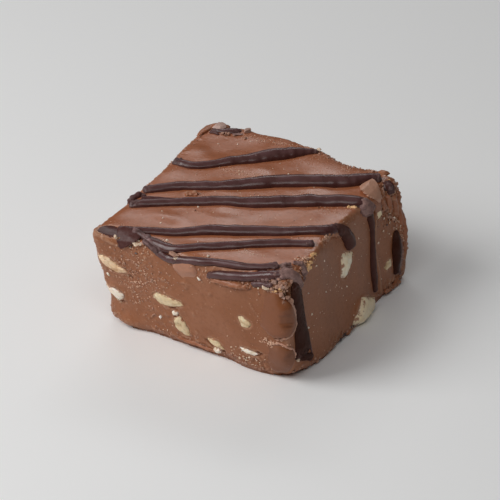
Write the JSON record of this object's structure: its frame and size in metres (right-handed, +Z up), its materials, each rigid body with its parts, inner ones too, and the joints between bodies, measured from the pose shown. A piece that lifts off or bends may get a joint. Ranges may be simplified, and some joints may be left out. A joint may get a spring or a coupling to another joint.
{
  "type": "rocky road",
  "caption": "Hand-cut square of milk chocolate with chopped nuts showing at its cut sides and dark chocolate piped in stripes over its top.",
  "frame": {"origin": "middle of the flat underside, on the surface it stands on", "axes": "+X along the front cut face to the right, +Y to the back, +Z up"},
  "size_m": [0.0589, 0.0642, 0.0287],
  "materials": {
    "milk_chocolate": "soft satin milk chocolate with fine nut crumbs at the cut faces",
    "dark_chocolate": "set dark chocolate, satin sheen along the ridges",
    "nut": "dry cut nut, cream with darker streaks"
  },
  "bodies": {
    "root": {"chocolate_block": "milk_chocolate", "nut_front_left_upper": "nut", "nut_front_left_lower": "nut", "nut_front_middle": "nut", "nut_front_middle_lower": "nut", "nut_front_base": "nut", "nut_front_right": "nut", "nut_front_right_base": "nut", "nut_side_middle": "nut", "nut_side_base": "nut", "nut_side_upper": "nut", "nut_side_back": "nut", "stripe_far_corner": "dark_chocolate", "stripe_1": "dark_chocolate", "stripe_2": "dark_chocolate", "stripe_3": "dark_chocolate", "stripe_4": "dark_chocolate", "stripe_5": "dark_chocolate", "stripe_6": "dark_chocolate", "stripe_7": "dark_chocolate", "stripe_8": "dark_chocolate", "stripe_back_corner": "dark_chocolate", "stripe_corner_chunk": "dark_chocolate"}
  },
  "joints": []
}
